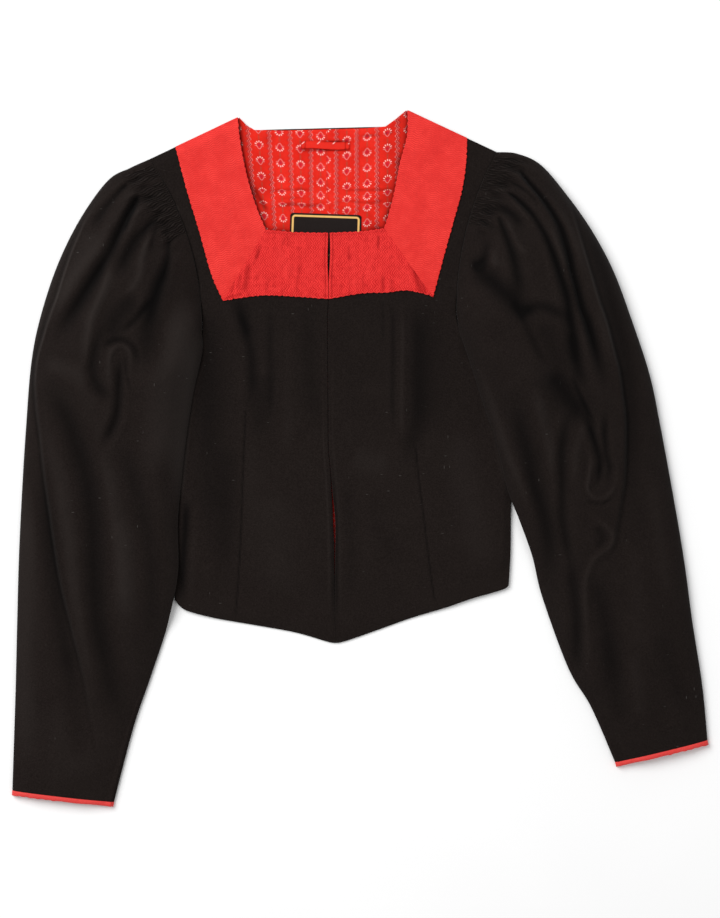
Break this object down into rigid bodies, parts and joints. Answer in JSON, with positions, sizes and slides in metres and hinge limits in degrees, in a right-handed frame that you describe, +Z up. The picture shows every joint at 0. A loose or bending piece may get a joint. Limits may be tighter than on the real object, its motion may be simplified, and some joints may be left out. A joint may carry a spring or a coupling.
{
  "type": "bolero jacket",
  "caption": "Cropped jacket lying flat, with a square banded neck, gathered full sleeves tapering to bound cuffs, darted fronts meeting edge to edge and a pointed hem.",
  "frame": {"origin": "on the surface that the jacket lies on, under the middle of its outline", "axes": "+Z up off the surface, +Y towards the neck, +X towards the wearer's left sleeve"},
  "size_m": [0.7327, 0.7326, 0.0431],
  "materials": {
    "black_wool": "matt milled wool cloth, warm black",
    "red_band": "woven zigzag band with a slight sheen",
    "red_lining": "printed cotton, matt",
    "label_weave": "woven satin label with a gold border"
  },
  "bodies": {
    "root": {"back": "black_wool", "front_right": "black_wool", "front_left": "black_wool", "sleeve_right": "black_wool", "sleeve_left": "black_wool", "back_lining": "red_lining", "hanger_loop": "red_lining", "collar_side_right": "red_band", "collar_side_left": "red_band", "collar_front_right": "red_band", "collar_front_left": "red_band", "cuff_binding_right": "red_band", "cuff_binding_left": "red_band", "label": "label_weave"}
  },
  "joints": []
}
